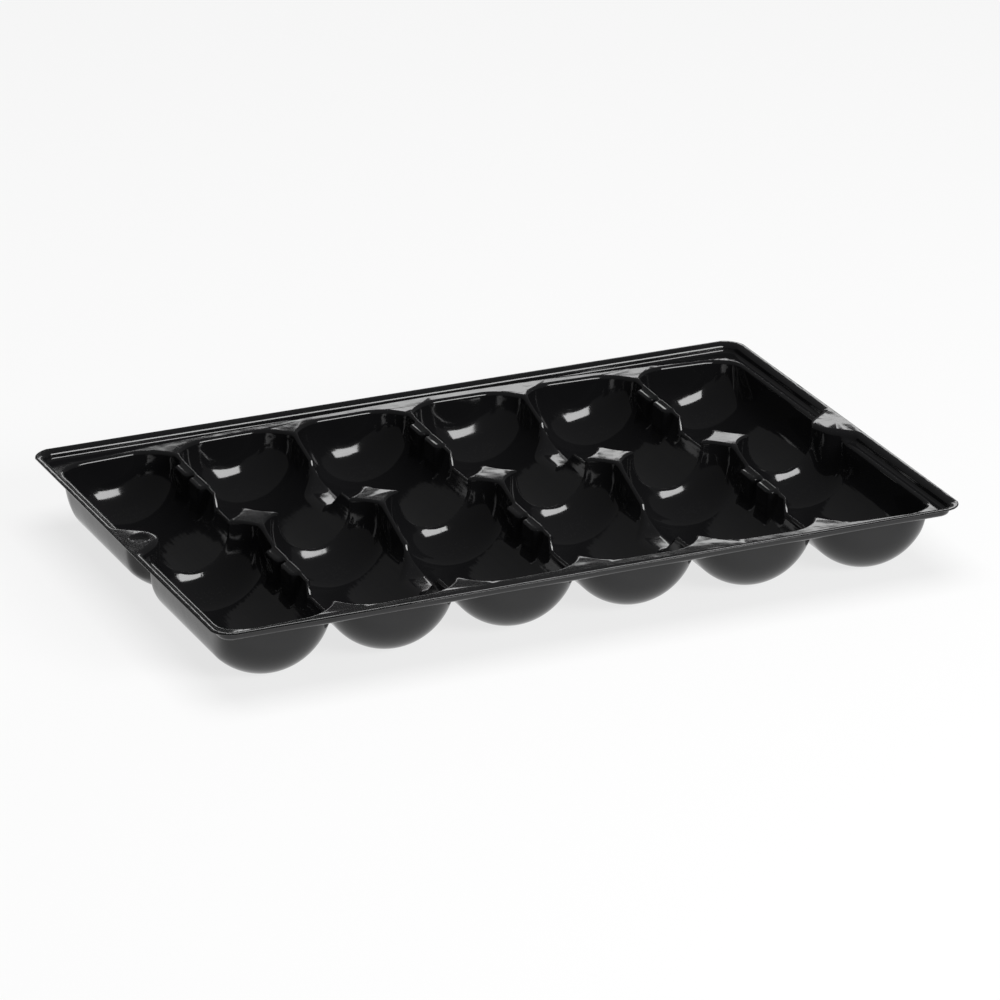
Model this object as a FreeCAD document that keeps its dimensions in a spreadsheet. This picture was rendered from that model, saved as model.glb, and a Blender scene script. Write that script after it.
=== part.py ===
"""Thermoformed twelve-pocket tray, one formed sheet, in millimetres.

The tray is drawn from its upper side. Everything that is open above the sheet is the hollow;
the same forms drawn one sheet thickness larger are the skin. The tray is the skin, with the
flat flange round it, less the hollow, so the wall is one thickness throughout.

Frame: X along the six pockets of a row, Y across the two rows, Z up, origin under the middle
of the tray on the surface that it stands on. The sheet is slightly crowned along X, so each
form is laid on a very large cylinder, and the rim and the ledge are levels of that cylinder.
"""
import FreeCAD, Part
import Sketcher
import math
import os

os.makedirs("parts", exist_ok=True)
doc = FreeCAD.newDocument("formed_tray")

# ---------------------------------------------------------------- driving dimensions
SIZES = {
    "tray_length": 400.0,        # flange edge to flange edge along X
    "tray_width": 260.0,         # flange edge to flange edge along Y
    "corner_radius": 12.0,       # outer corners of the flange
    "sheet": 0.8,                # wall after forming
    "crown_rise": 3.4,           # rise of the middle above the short ends
    "flange_width": 5.0,         # flat flange round the tray
    "step_depth": 5.0,           # first wall below the flange, down to the ledge
    "ledge_end": 5.0,            # ledge width at the short ends
    "ledge_side": 9.6,           # ledge width along the long sides
    "columns": 6,                # pockets in a row
    "pocket_pitch": 64.76,       # column to column
    "pocket_radius": 33.3,       # trough section of a pocket
    "pocket_end_radius": 22.0,   # rounding of a pocket's ends
    "axis_depth": 4.7,           # trough axis below the flange
    "row_overlap": 1.8,          # how far a pocket's end runs past the middle line
    "post_length": 30.0,         # block that leaves a post, along X
    "post_width": 44.0,          # block that leaves a post, along Y
    "post_drop": 0.2,            # flat top of a post, below the crowned flange
    "lug_reach": 15.5,           # end lugs, inward from the flange
    "lug_base": 37.0,            # width where a lug leaves the flange
    "lug_nose": 12.0,            # width at its nose, before rounding
    "lug_rounding": 6.0,
    "lug_height": 30.0,          # lug walls run down into the pockets
    "crest_width": 2.0,          # thin crest on a divider
    "crest_start": 14.0,         # crest's start, inside a post, from the row's rear line
    "crest_start_depth": 0.8,
    "back_crest_start": 18.0,    # crest's start in the back row, inside the ledge
    "back_crest_start_depth": 5.3,
    "crest_shoulder": 28.0,      # where the tall crest levels out
    "crest_shoulder_depth": 5.7,
    "crest_end": 70.0,           # where the tall crest ends
    "crest_end_depth": 7.5,
    "crest_drop": 6.0,           # run of the slope at the tall crest's end
    "short_crest_end": 40.0,     # where the short crest ends, just before the notch
    "short_crest_depth": 12.2,
    "crest_foot": 30.0,          # depth of the crests' underside, inside the divider
    "pad_width": 6.5,            # raised pads beside the tall crest
    "pad_length": 15.0,
    "pad_gap": 4.0,              # low gap between the two pads
    "pad_first": 27.0,           # start of the first pad
    "pad_depth": 6.8,
    "pad_offset": 2.0,           # pads sit this far to the -X side of the crest
    "pad_corner": 2.5,
    "row_pitch": 122.0,          # repeat of the divider features from row to row
    "notch_start": 49.0,         # rear edge of the notch floor
    "notch_end": 72.0,           # front edge of the notch floor
    "notch_depth": 25.5,
    "notch_lean": 0.55,          # run of its end walls for each millimetre of height
    "notch_length": 48.0,        # reach of the notch across the divider
    "dish_radius": 4.5,          # shallow dish in the top of the left lug
    "dish_depth": 1.4,
    "dish_inset": 10.5,          # dish centre from the flange edge
    "head_room": 12.0,           # how far the hollow runs above the flange
    "over_top": 2.0,             # lugs are drawn past the flange and cut level with it
}
sheet = doc.addObject("Spreadsheet::Sheet", "sizes")
for row, (alias, value) in enumerate(SIZES.items(), start=1):
    sheet.set(f"A{row}", alias)
    sheet.set(f"B{row}", str(value))
    sheet.setAlias(f"B{row}", alias)
doc.recompute()

# Sizes worked out from the sheet, kept in the document beside it.
WORKED = {
    "pocket_end": "sizes.tray_width / 2 - sizes.flange_width - sizes.ledge_side",
    "pocket_length": "worked.pocket_end + sizes.row_overlap",
    "row_middle": "(worked.pocket_end - sizes.row_overlap) / 2",
    "well_length": "sizes.tray_length - 2 * (sizes.flange_width + sizes.ledge_end)",
    "crown_radius": "(sizes.tray_length ^ 2 / 4 + sizes.crown_rise ^ 2) / (2 * sizes.crown_rise)",
    "tall": "4 * (sizes.axis_depth + sizes.pocket_radius)",
    "lug_slope": "(sizes.lug_base - sizes.lug_nose) / 2 / sizes.lug_reach",
}
worked = doc.addObject("App::VarSet", "worked")
for name, text in WORKED.items():
    worked.addProperty("App::PropertyFloat", name)
    worked.setExpression(name, text)
doc.recompute()


def size(text):
    """The value of an alias, a worked-out size or an expression made of them."""
    if text in SIZES:
        text = f"sizes.{text}"
    elif text in WORKED:
        text = f"worked.{text}"
    return float(sheet.evalExpression(text))


def vec(x, y, z):
    return FreeCAD.Vector(x, y, z)


def bind(item, **expressions):
    """Bind an object's sizes to the sheet, each by an expression."""
    for name, text in expressions.items():
        item.setExpression(name, text)
    return item


def bind_place(item, x="0", y="0", z="0"):
    for axis, text in (("x", x), ("y", y), ("z", z)):
        item.setExpression(f"Placement.Base.{axis}", text)
    return item


# ---------------------------------------------------------------- the crown
COLUMNS = int(size("columns"))
COLUMN_X = [(i - (COLUMNS - 1) / 2) * size("pocket_pitch") for i in range(COLUMNS)]
DIVIDER_X = [(i - COLUMNS / 2) * size("pocket_pitch") for i in range(1, COLUMNS)]
ROW_Y = size("row_middle")
FEATURE_Y = [-ROW_Y, size("row_pitch") - ROW_Y]      # middles that the divider features repeat at


def lowest_below_crown():
    """Depth of an end pocket's floor below the top of the crown."""
    turn = COLUMN_X[-1] / size("crown_radius")
    axis_drop = size("crown_radius") - (size("crown_radius") - size("axis_depth")) * math.cos(turn)
    return axis_drop + size("pocket_radius") + size("sheet")


CROWN_TOP = lowest_below_crown()                     # flange level at the middle of the tray
CROWN_CENTRE = vec(0, 0, CROWN_TOP - size("crown_radius"))


def on_crown(x, y=0.0):
    """Place a form drawn about the flange's plane onto the crowned sheet."""
    turn = x / size("crown_radius")
    normal = vec(math.sin(turn), 0, math.cos(turn))
    return FreeCAD.Placement(
        CROWN_CENTRE + normal * size("crown_radius") + vec(0, y, 0),
        FreeCAD.Rotation(vec(0, 1, 0), math.degrees(turn)))


def level(name, depth):
    """Everything below the crowned surface that lies the given depth under the flange."""
    drum = doc.addObject("Part::Cylinder", name)
    bind(drum, Radius=f"worked.crown_radius - ({depth})", Height="2 * sizes.tray_width")
    drum.Placement = FreeCAD.Placement(
        CROWN_CENTRE - vec(0, size("tray_width"), 0), FreeCAD.Rotation(vec(1, 0, 0), -90))
    return drum


# ---------------------------------------------------------------- document helpers
def box(name, length, width, height, corner="0", x="0", y="0", z="0"):
    """Upright box centred on X and Y, its four upright edges rounded."""
    block = doc.addObject("Part::Box", name + "_block")
    bind(block, Length=length, Width=width, Height=height)
    bind_place(block, f"{x} - ({length}) / 2", f"{y} - ({width}) / 2", z)
    rounding = size(corner)
    if rounding <= 0:
        return block
    return rounded(name, block, rounding, upright)


def rounded(name, base, rounding, wanted):
    """The base with the edges that wanted picks rounded."""
    doc.recompute()
    form = doc.addObject("Part::Fillet", name)
    form.Base = base
    form.Edges = [
        (i, rounding, rounding) for i, edge in enumerate(base.Shape.Edges, start=1) if wanted(edge)
    ]
    return form


def upright(edge):
    ends = [vertex.Point for vertex in edge.Vertexes]
    return len(ends) == 2 and math.hypot(ends[0].x - ends[1].x, ends[0].y - ends[1].y) < 1e-6


def fuse(name, parts):
    joined = doc.addObject("Part::MultiFuse", name)
    joined.Shapes = parts
    joined.Refine = False
    return joined


def cut(name, base, tool):
    result = doc.addObject("Part::Cut", name)
    result.Base, result.Tool = base, tool
    result.Refine = False
    return result


def common(name, parts):
    result = doc.addObject("Part::MultiCommon", name)
    result.Shapes = parts
    result.Refine = False
    return result


def linked(name, master, placement):
    """Another copy of a master form, at its own place."""
    copy = doc.addObject("App::Link", name)
    copy.LinkedObject = master
    copy.Placement = placement
    return copy


def group(name, parts):
    """Forms kept together as one master, whose own place is the origin."""
    master = doc.addObject("Part::Compound", name)
    master.Links = parts
    return master


# ---------------------------------------------------------------- forms
def pocket(tag, grow):
    """One pocket: a U-section trough, open at the top, with rounded ends."""
    body = doc.addObject("PartDesign::Body", f"pocket_{tag}")
    section = body.newObject("Sketcher::SketchObject", f"pocket_section_{tag}")
    plane = next(f for f in body.Origin.OriginFeatures if f.Role == "XZ_Plane")
    section.AttachmentSupport = (plane, "")
    section.MapMode = "FlatFace"
    radius, axis, top = size(f"sizes.pocket_radius + {grow}"), size("axis_depth"), size("head_room")
    corners = [vec(-radius, -axis, 0), vec(-radius, top, 0), vec(radius, top, 0), vec(radius, -axis, 0)]
    for start, end in zip(corners, corners[1:]):
        section.addGeometry(Part.LineSegment(start, end))
    floor = Part.Circle(vec(0, -axis, 0), vec(0, 0, 1), radius)
    section.addGeometry(Part.ArcOfCircle(floor, math.pi, 2 * math.pi))
    left, lid, right, arc = range(4)
    start, end, centre = 1, 2, 3
    for rule in (
        ("Coincident", left, end, lid, start), ("Coincident", lid, end, right, start),
        ("Tangent", left, start, arc, start), ("Tangent", right, end, arc, end),
        ("Vertical", left), ("Horizontal", lid), ("PointOnObject", arc, centre, -2),
    ):
        section.addConstraint(Sketcher.Constraint(*rule))
    for name, rule in (
        ("radius", ("Radius", arc, radius)),
        ("axis_depth", ("DistanceY", arc, centre, -1, 1, axis)),
        ("head_room", ("DistanceY", -1, 1, lid, start, top)),
    ):
        section.renameConstraint(section.addConstraint(Sketcher.Constraint(*rule)), name)
    bind(section, **{"Constraints.radius": f"sizes.pocket_radius + {grow}",
                     "Constraints.axis_depth": "sizes.axis_depth",
                     "Constraints.head_room": "sizes.head_room"})
    trough = body.newObject("PartDesign::Pad", f"trough_{tag}")
    trough.Profile = section
    trough.Midplane = True
    bind(trough, Length=f"worked.pocket_length + 2 * ({grow})")
    doc.recompute()
    half = size(f"worked.pocket_length / 2 + {grow}")
    ends = [
        f"Edge{i}" for i, edge in enumerate(trough.Shape.Edges, start=1)
        if all(abs(abs(v.Y) - half) < 1e-6 for v in edge.Vertexes)
        and edge.BoundBox.YLength < 1e-3 and edge.BoundBox.ZMin < top - 1
    ]
    rounding = body.newObject("PartDesign::Fillet", f"trough_ends_{tag}")
    rounding.Base = (trough, ends)
    bind(rounding, Radius=f"sizes.pocket_end_radius + {grow}")
    body.Tip = rounding
    return body


def notch(tag, grow):
    """Low pass through a divider, with a level floor and leaning end walls."""
    form = doc.addObject("Part::Wedge", f"notch_wedge_{tag}")
    rise = "(sizes.notch_depth + sizes.head_room) * sizes.notch_lean"
    bind(form,
         Xmin=f"sizes.notch_start - {grow}", Xmax=f"sizes.notch_end + {grow}",
         X2min=f"sizes.notch_start - {grow} - {rise}", X2max=f"sizes.notch_end + {grow} + {rise}",
         Ymin=f"-sizes.notch_depth - {grow}", Ymax="sizes.head_room",
         Zmin="-sizes.notch_length / 2", Z2min="-sizes.notch_length / 2",
         Zmax="sizes.notch_length / 2", Z2max="sizes.notch_length / 2")
    form.Placement.Rotation = FreeCAD.Rotation(vec(0, -1, 0), vec(0, 0, 1), vec(-1, 0, 0), "XYZ")
    bind_place(form, y="worked.row_middle")
    return group(f"notch_{tag}", [form])


def ramp(name, start, start_depth, end, end_depth):
    """Length of a thin crest, its top running straight from one depth to another."""
    form = doc.addObject("Part::Wedge", name)
    bind(form,
         Ymin=f"sizes.{start}", Ymax=end,
         Xmin="-sizes.crest_foot", Xmax=f"-{start_depth}",
         X2min="-sizes.crest_foot", X2max=f"-{end_depth}",
         Zmin="-sizes.crest_width / 2", Z2min="-sizes.crest_width / 2",
         Zmax="sizes.crest_width / 2", Z2max="sizes.crest_width / 2")
    form.Placement.Rotation = FreeCAD.Rotation(vec(0, 0, 1), vec(0, -1, 0), vec(1, 0, 0), "XYZ")
    bind_place(form, y="worked.row_middle")
    return form


def tall_crest(row, start):
    """Crest along most of a divider: it falls, runs nearly level, and drops off at its end."""
    return group(f"tall_crest_{row}", [fuse(f"tall_crest_runs_{row}", [
        ramp(f"tall_crest_fall_{row}", start, f"sizes.{start}_depth",
             "sizes.crest_shoulder", "sizes.crest_shoulder_depth"),
        ramp(f"tall_crest_run_{row}", "crest_shoulder", "sizes.crest_shoulder_depth",
             "sizes.crest_end", "sizes.crest_end_depth"),
        ramp(f"tall_crest_drop_{row}", "crest_end", "sizes.crest_end_depth",
             "sizes.crest_end + sizes.crest_drop", "sizes.crest_foot * 0.9"),
    ])])


def short_crest(row, start):
    """Crest of a notched divider: a straight ramp down to the notch."""
    return group(f"short_crest_{row}", [ramp(
        f"short_crest_run_{row}", start, f"sizes.{start}_depth",
        "sizes.short_crest_end", "sizes.short_crest_depth")])


def pads(tag, grow):
    """Two raised pads beside the tall crest; the skin's are smaller by the wall."""
    made = []
    for number in range(2):
        start = f"sizes.pad_first + {number} * (sizes.pad_length + sizes.pad_gap)"
        made.append(box(
            f"pad_{number}_{tag}", f"sizes.pad_width - 2 * {grow}",
            f"sizes.pad_length - 2 * {grow}", f"sizes.crest_foot - sizes.pad_depth - {grow}",
            f"sizes.pad_corner - {grow}", x="-sizes.pad_offset",
            y=f"worked.row_middle - ({start}) - sizes.pad_length / 2", z="-sizes.crest_foot"))
    return group(f"pads_{tag}", made)


def lug(tag, grow):
    """Lug of a short end, drawn pointing along -X from the flange's inner edge."""
    form = doc.addObject("Part::Wedge", f"lug_wedge_{tag}")
    root = "sizes.over_top * worked.lug_slope"
    bind(form,
         Ymin="-sizes.over_top", Ymax=f"sizes.lug_reach - {grow}",
         Xmin=f"{grow} - sizes.lug_base / 2 - {root}", Xmax=f"sizes.lug_base / 2 + {root} - {grow}",
         X2min=f"{grow} - sizes.lug_nose / 2", X2max=f"sizes.lug_nose / 2 - {grow}",
         Zmin="-sizes.lug_height", Z2min="-sizes.lug_height",
         Zmax="sizes.over_top", Z2max="sizes.over_top")
    form.Placement.Rotation = FreeCAD.Rotation(vec(0, 1, 0), vec(-1, 0, 0), vec(0, 0, 1), "XYZ")
    reach = size("lug_reach") - size(grow)
    rounding = size(f"sizes.lug_rounding - {grow}")
    return group(f"lug_{tag}", [rounded(
        f"lug_form_{tag}", form, rounding,
        lambda edge: upright(edge) and abs(edge.Vertexes[0].X + reach) < 1e-6)])


# ---------------------------------------------------------------- hollow and skin
def hollow(tag, grow):
    """What is open above the sheet (grow 0) or the skin round it, and what stands in it."""
    pocket_form = group(f"pocket_form_{tag}", [pocket(tag, grow)])
    pockets = [
        linked(f"pocket_{tag}_{side}_{i}", pocket_form, on_crown(x, y))
        for i, x in enumerate(COLUMN_X) for side, y in (("front", -ROW_Y), ("back", ROW_Y))
    ]
    well = box(f"well_{tag}", f"worked.well_length + 2 * {grow}", "sizes.tray_width",
               "worked.tall", z="-worked.tall / 4")
    troughs = common(f"troughs_{tag}", [fuse(f"all_pockets_{tag}", pockets), well])

    recess_block = box(
        f"recess_{tag}", f"sizes.tray_length - 2 * (sizes.flange_width - {grow})",
        f"sizes.tray_width - 2 * (sizes.flange_width - {grow})", "worked.tall",
        f"sizes.corner_radius - sizes.flange_width + {grow}", z="-worked.tall / 4")
    recess = cut(f"recess_floor_{tag}", recess_block,
                 level(f"ledge_level_{tag}", f"sizes.step_depth + {grow}"))
    post = group(f"post_{tag}", [box(
        f"post_{tag}", "sizes.post_length", "sizes.post_width", "worked.tall / 2",
        z=f"-sizes.post_drop - {grow} - worked.tall / 2")])
    posts = [linked(f"post_{tag}_{i}", post, on_crown(x)) for i, x in enumerate(DIVIDER_X)]
    ledge = cut(f"ledge_{tag}", recess, fuse(f"posts_{tag}", posts))

    notch_form = notch(tag, grow)
    notches = [
        linked(f"notch_{tag}_{i}_{k}", notch_form, on_crown(x, y))
        for i, x in enumerate(DIVIDER_X) if i % 2 for k, y in enumerate(FEATURE_Y)
    ]
    pad_form = pads(tag, grow)
    standing = [
        linked(f"pads_{tag}_{i}_{k}", pad_form, on_crown(x, y))
        for i, x in enumerate(DIVIDER_X) if i % 2 == 0 for k, y in enumerate(FEATURE_Y)
    ]
    lug_form = lug(tag, grow)
    lug_x = size("tray_length") / 2 - size("flange_width")
    half_turn = FreeCAD.Placement(vec(0, 0, 0), FreeCAD.Rotation(180, 0, 0))
    standing.append(linked(f"lug_{tag}_right", lug_form, on_crown(lug_x)))
    standing.append(linked(f"lug_{tag}_left", lug_form, on_crown(-lug_x) * half_turn))
    return fuse(f"opened_{tag}", [troughs, ledge] + notches), standing


def dish(tag, grow, height):
    """The round dish in the left lug's top."""
    form = doc.addObject("Part::Cylinder", f"dish_{tag}")
    bind(form, Radius=f"sizes.dish_radius + {grow}", Height=height)
    form.Placement = on_crown(size("dish_inset") - size("tray_length") / 2) * FreeCAD.Placement(
        vec(0, 0, -size(f"sizes.dish_depth + {grow}")), FreeCAD.Rotation())
    return form


inner, inner_standing = hollow("hollow", "0")
outer, outer_standing = hollow("skin", "sizes.sheet")
crest_forms = [
    (tall_crest(row, start), short_crest(row, start))
    for row, start in (("front", "crest_start"), ("back", "back_crest_start"))
]
crest_copies = [
    linked(f"crest_{i}_{k}", crest_forms[k][i % 2], on_crown(x, y))
    for i, x in enumerate(DIVIDER_X) for k, y in enumerate(FEATURE_Y)
]

plate = box("plate", "sizes.tray_length", "sizes.tray_width", "worked.tall",
            "sizes.corner_radius", z="-worked.tall / 4")
flange_top = level("flange_top", "0")
flange = cut("flange", common("flange_block", [plate, flange_top]),
             level("flange_underside", "sizes.sheet"))
skin = common("skin_below_top", [
    cut("skin_open", outer, fuse("skin_standing", outer_standing)), flange_top])
open_space = cut("open_space", inner, fuse("standing", inner_standing + crest_copies))
shell = cut("shell", fuse("formed", [flange, skin]), open_space)
dish_skin = dish("skin", "sizes.sheet", "sizes.dish_depth + sizes.sheet / 2")
dish_hollow = dish("hollow", "0", "sizes.dish_depth + sizes.head_room")
tray = cut("tray", fuse("shell_with_dish", [shell, dish_skin]), dish_hollow)
tray.Label = "tray"
doc.recompute()

# ---------------------------------------------------------------- checks and export
for item in doc.Objects:
    if "Invalid" in item.State or "Error" in item.State:
        raise SystemExit(f"{item.Name} failed: {item.State}")
shape = tray.Shape
if shape.isNull() or not shape.isValid():
    raise SystemExit("tray is not a valid shape")
print("solids", len(shape.Solids), "faces", len(shape.Faces), "volume", round(shape.Volume, 1))
print("box", shape.BoundBox)
shape.exportStep(os.path.join("parts", tray.Label + ".step"))
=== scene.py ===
"""Looks of the thermoformed twelve-pocket tray: its finer sheet, its finish, and a plain white studio.

The sheet is worked out in millimetres about the flange's plane: x along a row of six pockets,
y across the two rows, w up from the flange. air() says how far a point is from the open side of
the sheet. The surface is found where it is zero, and bend() then lays it on the crown.
"""
import itertools
import math

import bpy
import numpy as np
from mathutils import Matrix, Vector


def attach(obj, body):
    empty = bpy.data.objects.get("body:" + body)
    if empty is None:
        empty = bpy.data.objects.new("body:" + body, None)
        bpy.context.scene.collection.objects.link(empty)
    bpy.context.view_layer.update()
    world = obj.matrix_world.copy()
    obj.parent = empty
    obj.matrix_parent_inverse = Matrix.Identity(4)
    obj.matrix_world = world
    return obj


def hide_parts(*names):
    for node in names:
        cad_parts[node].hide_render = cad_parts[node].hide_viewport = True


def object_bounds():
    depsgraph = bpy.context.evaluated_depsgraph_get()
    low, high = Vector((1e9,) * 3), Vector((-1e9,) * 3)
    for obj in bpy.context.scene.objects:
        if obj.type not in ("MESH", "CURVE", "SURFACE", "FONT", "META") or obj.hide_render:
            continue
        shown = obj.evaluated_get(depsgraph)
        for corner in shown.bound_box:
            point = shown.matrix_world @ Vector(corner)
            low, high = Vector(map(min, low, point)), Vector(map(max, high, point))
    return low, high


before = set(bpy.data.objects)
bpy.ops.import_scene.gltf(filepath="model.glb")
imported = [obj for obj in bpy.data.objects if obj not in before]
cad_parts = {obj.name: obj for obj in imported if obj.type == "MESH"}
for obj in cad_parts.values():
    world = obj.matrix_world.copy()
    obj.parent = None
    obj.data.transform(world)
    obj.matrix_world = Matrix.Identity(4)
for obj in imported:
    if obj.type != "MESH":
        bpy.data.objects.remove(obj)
CAD_LOW, CAD_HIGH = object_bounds()
MM = 0.001

# ---------------------------------------------------------------- sizes of the tray, in millimetres
LENGTH = (CAD_HIGH[0] - CAD_LOW[0]) / MM
WIDTH = (CAD_HIGH[1] - CAD_LOW[1]) / MM
HEIGHT = (CAD_HIGH[2] - CAD_LOW[2]) / MM
SHEET = 0.8
OUTER_CORNER = 12.0
CROWN_RISE = 3.4
CROWN_RADIUS = (LENGTH ** 2 / 4 + CROWN_RISE ** 2) / (2 * CROWN_RISE)

FLANGE = 5.0
STEP_DEPTH = 5.0
LEDGE_END = 5.0
LEDGE_SIDE = 9.6
PITCH = 64.76
COLUMNS = 6
POCKET_RADIUS = 33.3
POCKET_END_RADIUS = 22.0
AXIS_DEPTH = 4.7
ROW_OVERLAP = 0.5         # less than the solid's 1.8, as the saddle's rounding lowers it
POCKET_END = WIDTH / 2 - FLANGE - LEDGE_SIDE
ROW_REPEAT = 122.0

POST_BLOCK = (15.0, 22.0)
POST_DROP = 0.2
LUG_REACH, LUG_ROUNDING = 15.5, 6.0
LUG_BASE, LUG_NOSE = 18.5, 6.0   # half widths
DISH_RADIUS, DISH_DEPTH, DISH_INSET = 4.5, 1.4, 10.5
CREST_HALF = 1.0          # half of a crest's width
CREST_FLARE, CREST_FLARE_DEPTH = 0.12, 10.0   # thickening below the top, and how deep it goes
TALL_CREST = {"front": ((11, -45.0), (11.5, -0.8), (28, -5.7), (70, -7.5), (76, -27.0), (80, -45.0)),
              "back": ((17.5, -45.0), (18, -5.3), (28, -5.7), (70, -7.5), (76, -27.0), (80, -45.0))}
SHORT_CREST = {"front": ((11, -45.0), (11.5, -0.8), (40, -12.2), (50, -40.0)),
               "back": ((17.5, -45.0), (18, -5.3), (40, -12.2), (50, -40.0))}
PAD_WIDTH, PAD_LENGTH, PAD_DEPTH, PAD_OFFSET, PAD_CORNER = 6.5, 15.0, 6.8, 2.0, 2.5
PAD_STARTS = (27.0, 46.0)
NOTCH_START, NOTCH_END, NOTCH_DEPTH, NOTCH_LEAN, NOTCH_REACH = 49.0, 72.0, 25.5, 0.55, 24.0

# Reach of the rounding where two forms meet.
DIVIDER_EDGE, SADDLE_EDGE, SHORT_END_FOOT = 2.4, 3.0, 4.0
LEDGE_FOOT, POCKET_MOUTH, POST_BLOCK_CORNER = 2.2, 2.0, 1.0
NOTCH_FLOOR, NOTCH_ENDS, NOTCH_MOUTH = 4.0, 3.0, 3.0
CREST_TOP, CREST_FOOT = 0.95, 2.4
PAD_TOP, PAD_FOOT, LUG_FOOT = 1.4, 2.0, 2.5
POST_EDGE, RIM_EDGE = 1.5, 3.5
DISH_FLOOR, DISH_EDGE = 1.5, 1.0
RIM_ZONE = (170.0, 105.0)   # half sizes past which the posts' level gives way to the rim's
RIM_ZONE_WIDTH = 15.0

NOWHERE = 100.0           # added to a distance where its form is absent
GRID = 0.8                # spacing at which the surface is looked for
SLAB = 50                 # grid planes worked out at a time
TRIANGLES_A_SIDE = 92000  # triangles on each of the sheet's two sides; of the 200 thousand that a piece may have
RIM_ROUND = 0.6           # rounding of the sheet's cut edge
RIM_TURNS = (30, 60, 90, 120, 150)   # degrees round the cut edge at which it has a ring of points

# Finish: sizes of noise are cycles a metre.
RIPPLE_CYCLES, GRAIN_CYCLES, GRAIN_SHARE, SURFACE_RELIEF = 55.0, 700.0, 0.02, 0.0002
SMUDGE_CYCLES, SCUFF_CYCLES = 28.0, (40.0, 900.0, 900.0)
FLOOR_SIZE, FLOOR_DROP, FLOOR_WHITE_SHARE = 14.0, 0.0002, 0.75


# ---------------------------------------------------------------- joining distances
def softly_joined(a, b, reach):
    """Union of two open spaces; the edge between them is rounded over the given reach."""
    near = np.maximum(1 - np.abs(a - b) / reach, 0)
    return np.minimum(a, b) - near * near * reach / 4


def softly_shared(a, b, reach):
    return -softly_joined(-a, -b, reach)


def ball_shared(a, b, radius):
    """What two spaces share, its corner rounded by a ball of the given radius."""
    return (np.minimum(np.maximum(a, b) + radius, 0)
            + np.hypot(np.maximum(a + radius, 0), np.maximum(b + radius, 0)) - radius)


def rectangle(x, y, half_x, half_y, corner):
    return ball_shared(np.abs(x) - half_x, np.abs(y) - half_y, corner)


# ---------------------------------------------------------------- the forms
def trough(q, w):
    return np.hypot(q, np.minimum(w + AXIS_DEPTH, 0)) - POCKET_RADIUS


def pockets(x, y, w):
    column = np.clip(np.round(x / PITCH + (COLUMNS - 1) / 2), 0, COLUMNS - 1)
    q = x - (column - (COLUMNS - 1) / 2) * PITCH
    alone = ((column == 0) & (q < 0)) | ((column == COLUMNS - 1) & (q > 0))
    beside = PITCH - np.abs(q) + np.where(alone, NOWHERE, 0.0)
    own, next_one = trough(q, w), trough(beside, w)
    rows = []
    for side in (-1, 1):
        end = np.maximum(side * y - POCKET_END, -ROW_OVERLAP - side * y)
        rows.append(softly_joined(ball_shared(own, end, POCKET_END_RADIUS),
                                  ball_shared(next_one, end, POCKET_END_RADIUS), DIVIDER_EDGE))
    joined = softly_joined(rows[0], rows[1], SADDLE_EDGE)
    return softly_shared(joined, np.abs(x) - (LENGTH / 2 - FLANGE - LEDGE_END), SHORT_END_FOOT)


def crest(q, s, w, line):
    """Thin crest along a divider; its top follows a line of (distance, depth) points."""
    top = np.interp(s, [p[0] for p in line], [p[1] for p in line])
    flank = np.abs(q) - CREST_HALF - CREST_FLARE * np.clip(top - w, 0, CREST_FLARE_DEPTH)
    return ball_shared(flank, w - top, CREST_TOP)


def pad(q, s, w, start):
    plan = rectangle(q + PAD_OFFSET, s - start - PAD_LENGTH / 2,
                     PAD_WIDTH / 2, PAD_LENGTH / 2, PAD_CORNER)
    return ball_shared(plan, w + PAD_DEPTH, PAD_TOP)


def notch(q, s, w):
    lean = NOTCH_LEAN * (w + NOTCH_DEPTH)
    walls = np.maximum(NOTCH_START - s - lean, s - NOTCH_END - lean) / math.hypot(1, NOTCH_LEAN)
    passage = softly_shared(walls, -NOTCH_DEPTH - w, NOTCH_FLOOR)
    return softly_shared(passage, np.abs(q) - NOTCH_REACH, NOTCH_ENDS)


def lug(x, y):
    inward = LENGTH / 2 - FLANGE - np.abs(x)
    slope = (LUG_BASE - LUG_NOSE) / LUG_REACH
    sides = (np.abs(y) - LUG_BASE + slope * inward) / math.hypot(1, slope)
    return ball_shared(sides, inward - LUG_REACH, LUG_ROUNDING)


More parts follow.
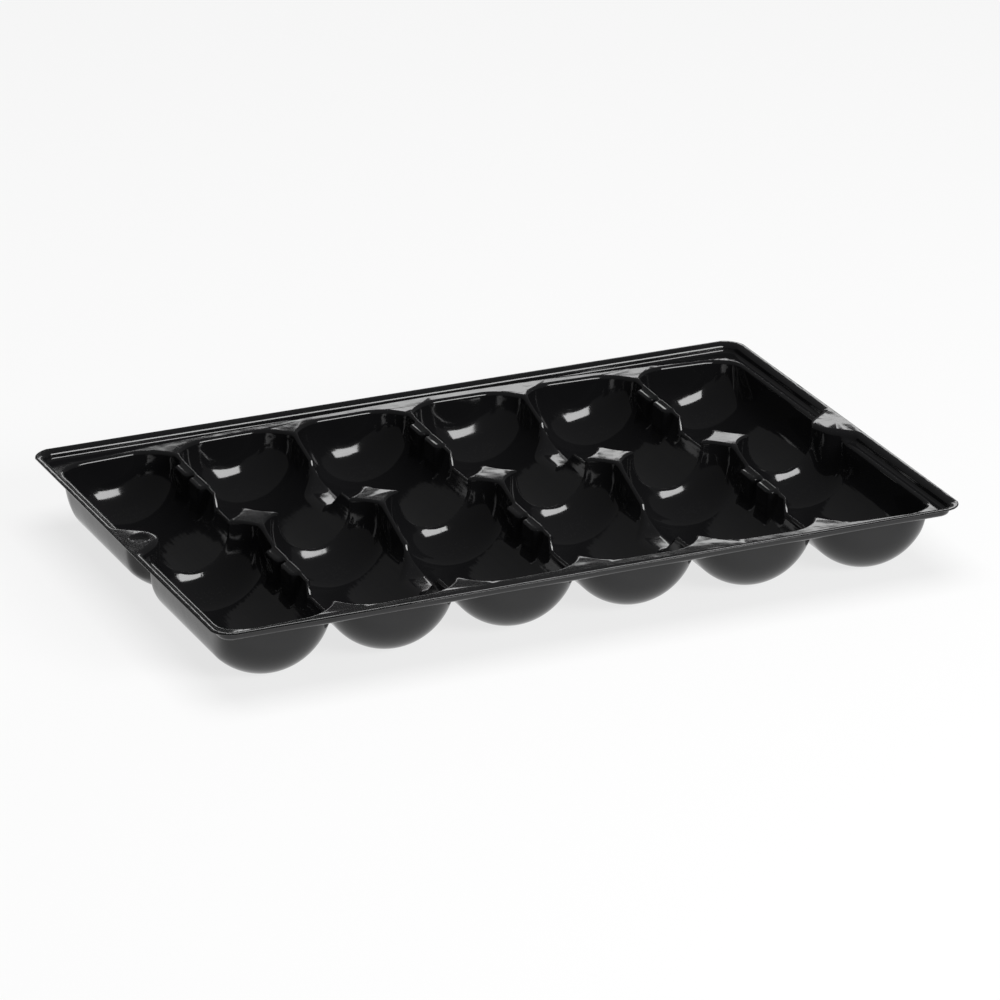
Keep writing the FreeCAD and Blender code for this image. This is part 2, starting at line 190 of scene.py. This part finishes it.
def air(x, y, w):
    """Signed distance, about, to the open space above the sheet: negative inside it."""
    number = np.clip(np.round(x / PITCH), -2, 2)
    q = x - number * PITCH
    even = number % 2 == 0
    if_odd, if_even = np.where(even, NOWHERE, 0.0), np.where(even, 0.0, NOWHERE)

    recess = softly_shared(
        rectangle(x, y, LENGTH / 2 - FLANGE, WIDTH / 2 - FLANGE, OUTER_CORNER - FLANGE),
        -STEP_DEPTH - w, LEDGE_FOOT)
    post_block = rectangle(q, y, *POST_BLOCK, POST_BLOCK_CORNER)
    recess = np.maximum(recess, -post_block)
    space = softly_joined(pockets(x, y, w), recess, POCKET_MOUTH)

    for side, s in (("front", -y), ("back", ROW_REPEAT - y)):
        space = softly_joined(space, notch(q, s, w) + if_odd, NOTCH_MOUTH)
        short = crest(q, s, w, SHORT_CREST[side]) + if_odd
        tall = crest(q, s, w, TALL_CREST[side]) + if_even
        space = softly_shared(space, -np.minimum(short, tall), CREST_FOOT)
        for start in PAD_STARTS:
            space = softly_shared(space, -pad(q, s, w, start) - if_even, PAD_FOOT)

    space = softly_shared(space, -lug(x, y), LUG_FOOT)
    past_zone = np.maximum(np.abs(x) - RIM_ZONE[0], np.abs(y) - RIM_ZONE[1])
    near_rim = np.clip(past_zone / RIM_ZONE_WIDTH, 0, 1)
    space = softly_joined(space, -w - POST_DROP * (1 - near_rim),
                          POST_EDGE + (RIM_EDGE - POST_EDGE) * near_rim)
    dish = softly_shared(
        np.hypot(x + LENGTH / 2 - DISH_INSET, y) - DISH_RADIUS, -DISH_DEPTH - w, DISH_FLOOR)
    return softly_joined(space, dish, DISH_EDGE)


# ---------------------------------------------------------------- from distances to a surface
def outline(x, y, inset=0.0):
    return rectangle(x, y, LENGTH / 2 - inset, WIDTH / 2 - inset, OUTER_CORNER - inset)


def slopes(points, step=0.04):
    x, y, w = points.T
    return np.stack([
        air(x + step, y, w) - air(x - step, y, w),
        air(x, y + step, w) - air(x, y - step, w),
        air(x, y, w + step) - air(x, y, w - step)], axis=1) / (2 * step)


def settled(points, rounds=4):
    """Points moved onto the surface, along its slope."""
    for _ in range(rounds):
        slope = slopes(points)
        steep = np.maximum((slope ** 2).sum(axis=1), 0.2)
        move = -(air(*points.T) / steep)[:, None] * slope
        points = points + np.clip(move, -GRID, GRID)
    return points


def surface_net():
    """Four-sided faces over the whole upper side, one point in each grid cell that it crosses."""
    half_x, half_y = LENGTH / 2 - RIM_ROUND, WIDTH / 2 - RIM_ROUND
    cells = (round(2 * half_x / GRID), round(2 * half_y / GRID))
    pitch = (2 * half_x / cells[0], 2 * half_y / cells[1])
    x = -half_x - pitch[0] / 2 + pitch[0] * np.arange(cells[0] + 2)
    y = -half_y - pitch[1] / 2 + pitch[1] * np.arange(cells[1] + 2)
    w = np.arange(-HEIGHT + 1.0, 2.0, GRID)
    opened = np.empty((len(x), len(y), len(w)), bool)
    for at in range(0, len(x), SLAB):
        part = x[at:at + SLAB, None, None]
        opened[at:at + SLAB] = air(part, y[None, :, None], w[None, None, :]) < 0

    count = sum(
        opened[a:a + len(x) - 1, b:b + len(y) - 1, c:c + len(w) - 1].astype(np.int8)
        for a, b, c in itertools.product((0, 1), repeat=3))
    crossed = np.argwhere((count > 0) & (count < 8))
    points = np.stack([axis[crossed[:, i]] + (axis[1] - axis[0]) / 2
                       for i, axis in enumerate((x, y, w))], axis=1)
    number = np.full(count.shape, -1, np.int32)
    number[tuple(crossed.T)] = np.arange(len(crossed))

    faces = []
    for order in ((1, 2, 0), (2, 0, 1), (0, 1, 2)):
        turned, ids = opened.transpose(order), number.transpose(order)
        below, above = turned[1:-1, 1:-1, :-1], turned[1:-1, 1:-1, 1:]
        i, j, k = np.nonzero(below != above)
        ring = np.stack([ids[i, j, k], ids[i + 1, j, k], ids[i + 1, j + 1, k], ids[i, j + 1, k]], 1)
        faces.append(np.where(above[i, j, k][:, None], ring, ring[:, ::-1]))
    return points, np.concatenate(faces)


def plain_mesh(name, points, faces):
    mesh = bpy.data.meshes.new(name)
    size = faces.shape[1]
    mesh.vertices.add(len(points))
    mesh.vertices.foreach_set("co", np.ascontiguousarray(points, np.float32).ravel())
    mesh.loops.add(faces.size)
    mesh.loops.foreach_set("vertex_index", np.ascontiguousarray(faces, np.int32).ravel())
    mesh.polygons.add(len(faces))
    mesh.polygons.foreach_set("loop_start", np.arange(0, faces.size, size, dtype=np.int32))
    mesh.update(calc_edges=True)
    return mesh


def thinned(points, faces, triangles):
    """The surface with fewer triangles, more of them left where it bends."""
    piece = bpy.data.objects.new("draft_sheet", plain_mesh("draft_sheet", points, faces))
    bpy.context.scene.collection.objects.link(piece)
    modifier = piece.modifiers.new("fewer", "DECIMATE")
    modifier.ratio = triangles / (2 * len(faces))
    mesh = piece.evaluated_get(bpy.context.evaluated_depsgraph_get()).to_mesh()
    mesh.calc_loop_triangles()
    kept = np.empty(3 * len(mesh.vertices), np.float32)
    mesh.vertices.foreach_get("co", kept)
    corners = np.empty(3 * len(mesh.loop_triangles), np.int32)
    mesh.loop_triangles.foreach_get("vertices", corners)
    draft = piece.data
    bpy.data.objects.remove(piece)
    bpy.data.meshes.remove(draft)
    return kept.reshape(-1, 3).astype(float), corners.reshape(-1, 3)


def border(triangles):
    """Corner numbers round the open edge, in order."""
    edges = np.concatenate([triangles[:, [0, 1]], triangles[:, [1, 2]], triangles[:, [2, 0]]])
    known = set(map(tuple, edges.tolist()))
    following = {a: b for a, b in known if (b, a) not in known}
    first = min(following)
    ring = [first]
    while following[ring[-1]] != first:
        ring.append(following[ring[-1]])
    return np.array(ring)


def on_outline(points, inset):
    """Points moved level to the tray's outline, inset by the given amount, and the way out of it."""
    for _ in range(3):
        x, y = points[:, 0], points[:, 1]
        step = 0.01
        out = np.stack([outline(x + step, y, inset) - outline(x - step, y, inset),
                        outline(x, y + step, inset) - outline(x, y - step, inset)], axis=1)
        out /= np.maximum(np.hypot(*out.T), 1e-9)[:, None]
        points[:, :2] -= outline(x, y, inset)[:, None] * out
    return points, out


def bend(points, normals):
    """From the flat drawing to the crowned sheet, in metres."""
    turn = points[:, 0] / CROWN_RADIUS
    reach = CROWN_RADIUS + points[:, 2]
    placed = np.stack([reach * np.sin(turn), points[:, 1],
                       reach * np.cos(turn) - CROWN_RADIUS + HEIGHT], axis=1)
    turned = np.stack([normals[:, 0] * np.cos(turn) + normals[:, 2] * np.sin(turn), normals[:, 1],
                       normals[:, 2] * np.cos(turn) - normals[:, 0] * np.sin(turn)], axis=1)
    return placed * MM, turned


def formed_sheet():
    points, faces = surface_net()
    faces = faces[(outline(points[:, 0], points[:, 1], RIM_ROUND)[faces] < GRID / 2).all(axis=1)]
    used, faces = np.unique(faces, return_inverse=True)
    points, faces = settled(points[used], 3), faces.reshape(-1, 4)
    upper, triangles = thinned(points, faces, TRIANGLES_A_SIDE)
    upper = settled(upper)
    edge = border(triangles)
    upper[edge], out = on_outline(upper[edge], RIM_ROUND)
    upper[edge] = settled(upper[edge], 2)
    normals = -slopes(upper)
    normals /= np.linalg.norm(normals, axis=1)[:, None]
    lower = upper - normals * SHEET

    rings, ring_normals = [], []
    for turn in np.radians(RIM_TURNS):
        rise = math.cos(turn)
        ring = upper[edge].copy()
        ring[:, :2] += out * RIM_ROUND * math.sin(turn)
        ring[:, 2] += SHEET / 2 * (rise - 1)
        rings.append(ring)
        ring_normals.append(np.column_stack([out * math.sin(turn), np.full(len(out), rise)]))
    count, around = len(upper), len(edge)
    loops = [edge] + [2 * count + i * around + np.arange(around) for i in range(len(rings))]
    loops.append(edge + count)
    strips = []
    for a, b in zip(loops, loops[1:]):
        a_next, b_next = np.roll(a, -1), np.roll(b, -1)
        strips += [np.stack([a_next, a, b], 1), np.stack([a_next, b, b_next], 1)]
    points = np.concatenate([upper, lower] + rings)
    normals = np.concatenate([normals, -normals] + ring_normals)
    triangles = np.concatenate([triangles, triangles[:, ::-1] + count] + strips)

    placed, turned = bend(points, normals)
    mesh = plain_mesh("formed_sheet", placed, triangles)
    mesh.shade_smooth()
    mesh.normals_split_custom_set_from_vertices(turned.tolist())
    piece = bpy.data.objects.new("formed_sheet", mesh)
    bpy.context.scene.collection.objects.link(piece)
    return piece


# ---------------------------------------------------------------- finish
def value_group(name, outputs, inputs):
    """Empty node group with float sockets, and its input and output nodes."""
    group = bpy.data.node_groups.new(name, "ShaderNodeTree")
    for label, start in inputs:
        socket = group.interface.new_socket(label, in_out="INPUT", socket_type="NodeSocketFloat")
        socket.default_value = start
    for label in outputs:
        group.interface.new_socket(label, in_out="OUTPUT", socket_type="NodeSocketFloat")
    return group, group.nodes.new("NodeGroupInput"), group.nodes.new("NodeGroupOutput")


def noise(nodes, links, place, scale, detail, roughness=0.5):
    texture = nodes.new("ShaderNodeTexNoise")
    texture.inputs["Scale"].default_value = scale
    texture.inputs["Detail"].default_value = detail
    texture.inputs["Roughness"].default_value = roughness
    links.new(place, texture.inputs["Vector"])
    return texture.outputs["Fac"]


def worked_out(nodes, links, kind, *values):
    """One math node; each value is a socket or a number."""
    math_node = nodes.new("ShaderNodeMath")
    math_node.operation = kind
    for at, value in enumerate(values):
        if isinstance(value, (int, float)):
            math_node.inputs[at].default_value = value
        else:
            links.new(value, math_node.inputs[at])
    return math_node.outputs[0]


def formed_surface_group():
    """Slow ripple of a sheet drawn over a mould, with a finer unevenness on it, as a height."""
    group, given, out = value_group(
        "formed_surface", ("Height",), (("Ripple", 1.0), ("Grain", 1.0)))
    nodes, links = group.nodes, group.links
    place = nodes.new("ShaderNodeTexCoord").outputs["Object"]
    ripple = noise(nodes, links, place, RIPPLE_CYCLES, 2.0)
    grain = noise(nodes, links, place, GRAIN_CYCLES, 3.0)
    slow = worked_out(nodes, links, "MULTIPLY", ripple, given.outputs["Ripple"])
    fine = worked_out(nodes, links, "MULTIPLY", grain, given.outputs["Grain"])
    fine = worked_out(nodes, links, "MULTIPLY", fine, GRAIN_SHARE)
    links.new(worked_out(nodes, links, "ADD", slow, fine), out.inputs["Height"])
    return group


def handled_surface_group():
    """Roughness of a gloss sheet that has been handled: smudges, and a few fine scuffs."""
    group, given, out = value_group(
        "handled_surface", ("Roughness",),
        (("Gloss", 0.08), ("Smudges", 0.06), ("Scuffs", 0.12)))
    nodes, links = group.nodes, group.links
    place = nodes.new("ShaderNodeTexCoord").outputs["Object"]
    smudge = nodes.new("ShaderNodeMapRange")
    smudge.inputs["From Min"].default_value = 0.5
    smudge.inputs["From Max"].default_value = 0.75
    links.new(noise(nodes, links, place, SMUDGE_CYCLES, 5.0, 0.6), smudge.inputs["Value"])
    stretched = nodes.new("ShaderNodeMapping")
    stretched.inputs["Rotation"].default_value = (0.3, 0.2, 0.6)
    stretched.inputs["Scale"].default_value = SCUFF_CYCLES
    links.new(place, stretched.inputs["Vector"])
    scuff = nodes.new("ShaderNodeMapRange")
    scuff.inputs["From Min"].default_value = 0.68
    scuff.inputs["From Max"].default_value = 0.78
    links.new(noise(nodes, links, stretched.outputs[0], 1.0, 2.0), scuff.inputs["Value"])
    total = worked_out(nodes, links, "MULTIPLY_ADD", smudge.outputs[0],
                       given.outputs["Smudges"], given.outputs["Gloss"])
    total = worked_out(nodes, links, "MULTIPLY_ADD", scuff.outputs[0],
                       given.outputs["Scuffs"], total)
    links.new(total, out.inputs["Roughness"])
    return group


def glossy_black_sheet():
    material = bpy.data.materials.new("glossy_black_sheet")
    material.use_nodes = True
    nodes, links = material.node_tree.nodes, material.node_tree.links
    shader = nodes["Principled BSDF"]
    shader.inputs["Base Color"].default_value = (0.006, 0.006, 0.0065, 1)
    shader.inputs["IOR"].default_value = 1.48

    handled = nodes.new("ShaderNodeGroup")
    handled.node_tree = handled_surface_group()
    links.new(handled.outputs["Roughness"], shader.inputs["Roughness"])

    formed = nodes.new("ShaderNodeGroup")
    formed.node_tree = formed_surface_group()
    bump = nodes.new("ShaderNodeBump")
    bump.inputs["Strength"].default_value = 1.0
    bump.inputs["Distance"].default_value = SURFACE_RELIEF
    links.new(formed.outputs["Height"], bump.inputs["Height"])
    links.new(bump.outputs["Normal"], shader.inputs["Normal"])
    return material


# ---------------------------------------------------------------- studio
def seen_directly(nodes, links, share):
    """How much plain white the camera, the shine and what is seen through glass get."""
    path = nodes.new("ShaderNodeLightPath")
    seen = worked_out(nodes, links, "MAXIMUM",
                      path.outputs["Is Camera Ray"], path.outputs["Is Glossy Ray"])
    seen = worked_out(nodes, links, "MAXIMUM", seen, path.outputs["Is Transmission Ray"])
    return worked_out(nodes, links, "MULTIPLY", seen, share)


def white_floor():
    material = bpy.data.materials.new("white_floor")
    material.use_nodes = True
    nodes, links = material.node_tree.nodes, material.node_tree.links
    shader = nodes["Principled BSDF"]
    shader.inputs["Base Color"].default_value = (0.85, 0.85, 0.85, 1)
    shader.inputs["Roughness"].default_value = 0.9
    white = nodes.new("ShaderNodeEmission")
    mix = nodes.new("ShaderNodeMixShader")
    links.new(seen_directly(nodes, links, FLOOR_WHITE_SHARE), mix.inputs[0])
    links.new(shader.outputs[0], mix.inputs[1])
    links.new(white.outputs[0], mix.inputs[2])
    links.new(mix.outputs[0], nodes["Material Output"].inputs["Surface"])
    return material


def studio_world():
    """White behind the tray, dim as light: only the camera sees the white all round."""
    world = bpy.data.worlds.new("studio")
    bpy.context.scene.world = world
    world.use_nodes = True
    nodes, links = world.node_tree.nodes, world.node_tree.links
    dim = nodes["Background"]
    dim.inputs["Color"].default_value = (1, 1, 1, 1)
    dim.inputs["Strength"].default_value = 0.1
    white = nodes.new("ShaderNodeBackground")
    path = nodes.new("ShaderNodeLightPath")
    mix = nodes.new("ShaderNodeMixShader")
    links.new(path.outputs["Is Camera Ray"], mix.inputs[0])
    links.new(dim.outputs[0], mix.inputs[1])
    links.new(white.outputs[0], mix.inputs[2])
    links.new(mix.outputs[0], nodes["World Output"].inputs["Surface"])


def around(azimuth, elevation, distance):
    """Place seen from the tray at an azimuth from +Y towards +X and an elevation, in degrees."""
    turn, lift = math.radians(azimuth), math.radians(elevation)
    return Vector((math.sin(turn) * math.cos(lift), math.cos(turn) * math.cos(lift),
                   math.sin(lift))) * distance


def softbox(name, place, aim, width, height, radiance, shines=True):
    lamp = bpy.data.lights.new(name, "AREA")
    lamp.shape = "RECTANGLE"
    lamp.size, lamp.size_y = width, height
    lamp.energy = radiance * width * height * math.pi
    holder = bpy.data.objects.new(name, lamp)
    bpy.context.scene.collection.objects.link(holder)
    holder.location = place
    holder.rotation_euler = (Vector(aim) - place).to_track_quat("-Z", "Y").to_euler()
    holder.visible_glossy = shines


def floor_plane():
    bpy.ops.mesh.primitive_plane_add(size=FLOOR_SIZE, location=(0, 0, -FLOOR_DROP))
    floor = bpy.context.object
    floor.name = "floor"
    floor.data.materials.append(white_floor())


def main_camera():
    camera = bpy.data.cameras.new("main_camera")
    camera.lens = 222.0
    camera.sensor_width = 36.0
    camera.clip_start, camera.clip_end = 0.1, 30
    holder = bpy.data.objects.new("main_camera", camera)
    bpy.context.scene.collection.objects.link(holder)
    holder.location = (-1.1676, -2.6206, 1.1960)
    holder.rotation_euler = Vector((0.37797, 0.84535, -0.37751)).to_track_quat("-Z", "Y").to_euler()
    bpy.context.scene.camera = holder


tray = formed_sheet()
tray.data.materials.append(glossy_black_sheet())
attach(tray, "root")
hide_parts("tray")

floor_plane()
studio_world()
middle = Vector((0, 0, 0.03))
softbox("front_softbox", around(156, 23, 2.2), middle, 1.3, 0.75, 12.0)
softbox("back_strip", around(24.5, 20.5, 2.6), middle, 1.0, 0.16, 2.8)
softbox("overhead_fill", Vector((0, 0, 2.5)), middle, 2.0, 2.0, 4.2, shines=False)
main_camera()
bpy.context.scene.view_settings.view_transform = "Standard"
